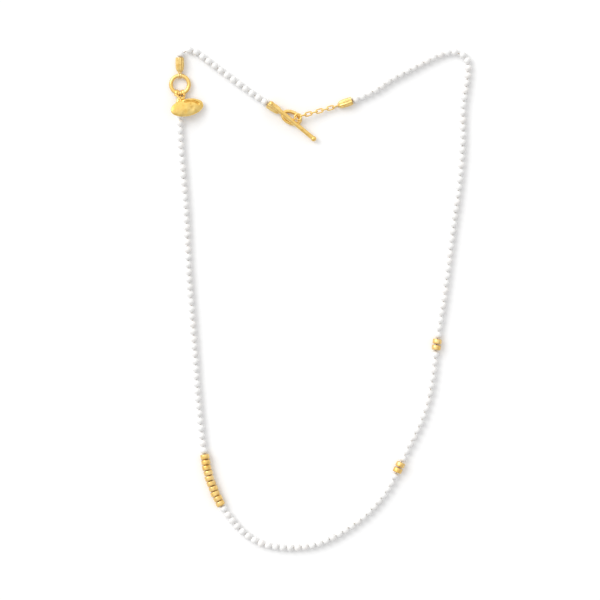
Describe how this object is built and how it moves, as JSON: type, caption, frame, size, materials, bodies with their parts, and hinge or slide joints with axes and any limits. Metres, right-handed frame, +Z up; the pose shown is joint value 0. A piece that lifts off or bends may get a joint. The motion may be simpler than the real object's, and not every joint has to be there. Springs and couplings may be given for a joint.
{
  "type": "pearl necklace",
  "caption": "Strand necklace of small round pearls with gold spacer beads, fluted end caps, a ring with a pebble charm, and a toggle clasp on a fine chain.",
  "frame": {"origin": "middle of the footprint of the necklace as it lies flat, on the table", "axes": "+Z up from the table; +Y along the length of the laid loop towards the clasp; +X to the right seen from above"},
  "size_m": [0.1044, 0.1742, 0.0052],
  "materials": {
    "gold": "satin brushed yellow gold plating",
    "pearl": "satin pearl lustre, near white",
    "thread": "fine twisted bead thread, gold brown"
  },
  "bodies": {
    "left_upper": {"pearls_left_upper": "pearl", "thread_left_upper": "thread", "charm_end_cap": "gold", "charm_eye_pin": "gold"},
    "left_middle": {"pearls_left_middle": "pearl", "thread_left_middle": "thread"},
    "left_lower": {"pearls_left_lower": "pearl", "thread_left_lower": "thread"},
    "bottom": {"pearls_bottom": "pearl", "thread_bottom": "thread"},
    "right_lower": {"pearls_right_lower": "pearl", "thread_right_lower": "thread"},
    "right_middle": {"pearls_right_middle": "pearl", "thread_right_middle": "thread"},
    "right_upper": {"pearls_right_upper": "pearl", "thread_right_upper": "thread"},
    "right_top": {"pearls_right_top": "pearl", "thread_right_top": "thread"},
    "top_run": {"pearls_top_run": "pearl", "thread_top_run": "thread", "chain_end_cap": "gold", "chain_eye_pin": "gold"},
    "short_start": {"pearls_short_start": "pearl", "thread_short_start": "thread", "top_end_cap": "gold", "top_eye_pin": "gold"},
    "short_end": {"pearls_short_end": "pearl", "thread_short_end": "thread", "clasp_end_cap": "gold", "clasp_eye_pin": "gold"},
    "connector_ring": {"connector_ring": "gold"},
    "charm_bail": {"charm_bail": "gold"},
    "pebble_charm": {"pebble_charm": "gold"},
    "toggle_ring": {"toggle_ring": "gold"},
    "jump_ring": {"jump_ring": "gold"},
    "toggle_bar": {"toggle_bar": "gold", "bar_end_balls": "gold"},
    "chain_link_1": {"chain_link_1": "gold"},
    "chain_link_2": {"chain_link_2": "gold"},
    "chain_link_3": {"chain_link_3": "gold"},
    "chain_link_4": {"chain_link_4": "gold"},
    "chain_link_5": {"chain_link_5": "gold"},
    "chain_link_6": {"chain_link_6": "gold"},
    "gold_bead_01": {"gold_bead_01": "gold"},
    "gold_bead_02": {"gold_bead_02": "gold"},
    "gold_bead_03": {"gold_bead_03": "gold"},
    "gold_bead_04": {"gold_bead_04": "gold"},
    "gold_bead_05": {"gold_bead_05": "gold"},
    "gold_bead_06": {"gold_bead_06": "gold"},
    "gold_bead_07": {"gold_bead_07": "gold"},
    "gold_bead_08": {"gold_bead_08": "gold"},
    "gold_bead_09": {"gold_bead_09": "gold"},
    "gold_bead_10": {"gold_bead_10": "gold"},
    "gold_bead_11": {"gold_bead_11": "gold"},
    "gold_bead_12": {"gold_bead_12": "gold"},
    "gold_bead_13": {"gold_bead_13": "gold"},
    "gold_bead_14": {"gold_bead_14": "gold"}
  },
  "joints": [
    {"name": "left_lower_bend", "type": "hinge", "parent": "bottom", "child": "left_lower", "pos_m": [-0.04093, -0.04722, 0.00125], "axis": [0, 0, 1], "range_deg": [0, 15]},
    {"name": "left_middle_bend", "type": "hinge", "parent": "left_lower", "child": "left_middle", "pos_m": [-0.04426, -0.00613, 0.00125], "axis": [0, 0, 1], "range_deg": [0, 15]},
    {"name": "left_upper_bend", "type": "hinge", "parent": "left_middle", "child": "left_upper", "pos_m": [-0.04693, 0.03758, 0.00125], "axis": [0, 0, 1], "range_deg": [0, 15]},
    {"name": "connector_ring_swing", "type": "hinge", "parent": "left_upper", "child": "connector_ring", "pos_m": [-0.04846, 0.07081, 0.00123], "axis": [0, 0, 1], "range_deg": [0, 8]},
    {"name": "charm_bail_lift", "type": "hinge", "parent": "connector_ring", "child": "charm_bail", "pos_m": [-0.04846, 0.07106, 0.00123], "axis": [-1, 0, 0], "range_deg": [0, 35]},
    {"name": "pebble_charm_lift", "type": "hinge", "parent": "charm_bail", "child": "pebble_charm", "pos_m": [-0.04756, 0.06891, 0.00355], "axis": [-0.9248, -0.222, 0.309], "range_deg": [0, 60]},
    {"name": "short_strand_swing", "type": "hinge", "parent": "connector_ring", "child": "short_start", "pos_m": [-0.04846, 0.07701, 0.00123], "axis": [0, 0, 1], "range_deg": [0, 8]},
    {"name": "short_strand_bend", "type": "hinge", "parent": "short_start", "child": "short_end", "pos_m": [-0.03434, 0.0787, 0.00125], "axis": [0, 0, 1], "range_deg": [0, 12]},
    {"name": "toggle_ring_swing", "type": "hinge", "parent": "short_end", "child": "toggle_ring", "pos_m": [-0.01289, 0.06381, 0.00123], "axis": [0, 0, 1], "range_deg": [0, 8]},
    {"name": "right_lower_bend", "type": "hinge", "parent": "bottom", "child": "right_lower", "pos_m": [0.02182, -0.06782, 0.00125], "axis": [0, 0, 1], "range_deg": [-15, 0]},
    {"name": "right_middle_bend", "type": "hinge", "parent": "right_lower", "child": "right_middle", "pos_m": [0.03911, -0.02458, 0.00125], "axis": [0, 0, 1], "range_deg": [-15, 0]},
    {"name": "right_upper_bend", "type": "hinge", "parent": "right_middle", "child": "right_upper", "pos_m": [0.04499, 0.01817, 0.00125], "axis": [0, 0, 1], "range_deg": [-15, 0]},
    {"name": "right_top_bend", "type": "hinge", "parent": "right_upper", "child": "right_top", "pos_m": [0.04932, 0.06684, 0.00125], "axis": [0, 0, 1], "range_deg": [0, 12]},
    {"name": "top_run_bend", "type": "hinge", "parent": "right_top", "child": "top_run", "pos_m": [0.0368, 0.08212, 0.00125], "axis": [0, 0, 1], "range_deg": [0, 12]},
    {"name": "chain_link_1_lift", "type": "hinge", "parent": "top_run", "child": "chain_link_1", "pos_m": [0.0051, 0.06628, 0.00123], "axis": [-0.2713, 0.9625, 0], "range_deg": [0, 20]},
    {"name": "chain_link_2_lift", "type": "hinge", "parent": "chain_link_1", "child": "chain_link_2", "pos_m": [0.0025, 0.06555, 0.00154], "axis": [-0.2713, 0.9625, 0], "range_deg": [0, 20]},
    {"name": "chain_link_3_lift", "type": "hinge", "parent": "chain_link_2", "child": "chain_link_3", "pos_m": [0.0006, 0.06502, 0.00177], "axis": [-0.2713, 0.9625, 0], "range_deg": [0, 20]},
    {"name": "chain_link_4_lift", "type": "hinge", "parent": "chain_link_3", "child": "chain_link_4", "pos_m": [-0.00129, 0.06448, 0.00199], "axis": [-0.2713, 0.9625, 0], "range_deg": [0, 20]},
    {"name": "chain_link_5_lift", "type": "hinge", "parent": "chain_link_4", "child": "chain_link_5", "pos_m": [-0.00318, 0.06395, 0.00222], "axis": [-0.2713, 0.9625, 0], "range_deg": [0, 20]},
    {"name": "chain_link_6_lift", "type": "hinge", "parent": "chain_link_5", "child": "chain_link_6", "pos_m": [-0.00508, 0.06341, 0.00245], "axis": [-0.2713, 0.9625, 0], "range_deg": [0, 20]},
    {"name": "jump_ring_lift", "type": "hinge", "parent": "chain_link_6", "child": "jump_ring", "pos_m": [-0.00667, 0.06296, 0.00263], "axis": [-0.2713, 0.9625, 0], "range_deg": [0, 20]},
    {"name": "toggle_bar_lift", "type": "hinge", "parent": "jump_ring", "child": "toggle_bar", "pos_m": [-0.00873, 0.06222, 0.00276], "axis": [-0.7665, 0.6229, 0.1564], "range_deg": [0, 60]},
    {"name": "gold_bead_01_spin", "type": "hinge", "parent": "bottom", "child": "gold_bead_01", "pos_m": [-0.03981, -0.05452, 0.00155], "axis": [0.195, -0.9808, 0], "continuous": true},
    {"name": "gold_bead_02_spin", "type": "hinge", "parent": "bottom", "child": "gold_bead_02", "pos_m": [-0.03953, -0.05639, 0.00155], "axis": [0.1723, -0.9851, 0], "continuous": true},
    {"name": "gold_bead_03_spin", "type": "hinge", "parent": "bottom", "child": "gold_bead_03", "pos_m": [-0.03926, -0.05826, 0.00155], "axis": [0.1796, -0.9837, 0], "continuous": true},
    {"name": "gold_bead_04_spin", "type": "hinge", "parent": "bottom", "child": "gold_bead_04", "pos_m": [-0.03866, -0.06006, 0.00155], "axis": [0.2589, -0.9659, 0], "continuous": true},
    {"name": "gold_bead_05_spin", "type": "hinge", "parent": "bottom", "child": "gold_bead_05", "pos_m": [-0.03831, -0.06193, 0.00155], "axis": [0.3153, -0.949, 0], "continuous": true},
    {"name": "gold_bead_06_spin", "type": "hinge", "parent": "bottom", "child": "gold_bead_06", "pos_m": [-0.03765, -0.0637, 0.00155], "axis": [0.3224, -0.9466, 0], "continuous": true},
    {"name": "gold_bead_07_spin", "type": "hinge", "parent": "bottom", "child": "gold_bead_07", "pos_m": [-0.03691, -0.06544, 0.00155], "axis": [0.3629, -0.9318, 0], "continuous": true},
    {"name": "gold_bead_08_spin", "type": "hinge", "parent": "bottom", "child": "gold_bead_08", "pos_m": [-0.03631, -0.06724, 0.00155], "axis": [0.4247, -0.9053, 0], "continuous": true},
    {"name": "gold_bead_09_spin", "type": "hinge", "parent": "bottom", "child": "gold_bead_09", "pos_m": [-0.03535, -0.06887, 0.00155], "axis": [0.4556, -0.8902, 0], "continuous": true},
    {"name": "gold_bead_10_spin", "type": "hinge", "parent": "bottom", "child": "gold_bead_10", "pos_m": [-0.03456, -0.07059, 0.00155], "axis": [0.4672, -0.8841, 0], "continuous": true},
    {"name": "gold_bead_11_spin", "type": "hinge", "parent": "right_lower", "child": "gold_bead_11", "pos_m": [0.02664, -0.05911, 0.00155], "axis": [0.3856, 0.9227, 0], "continuous": true},
    {"name": "gold_bead_12_spin", "type": "hinge", "parent": "right_lower", "child": "gold_bead_12", "pos_m": [0.02755, -0.05722, 0.00155], "axis": [0.4215, 0.9068, 0], "continuous": true},
    {"name": "gold_bead_13_spin", "type": "hinge", "parent": "right_middle", "child": "gold_bead_13", "pos_m": [0.03996, -0.01681, 0.00155], "axis": [0.1037, 0.9946, 0], "continuous": true},
    {"name": "gold_bead_14_spin", "type": "hinge", "parent": "right_middle", "child": "gold_bead_14", "pos_m": [0.04029, -0.01474, 0.00155], "axis": [0.1413, 0.99, 0], "continuous": true}
  ]
}
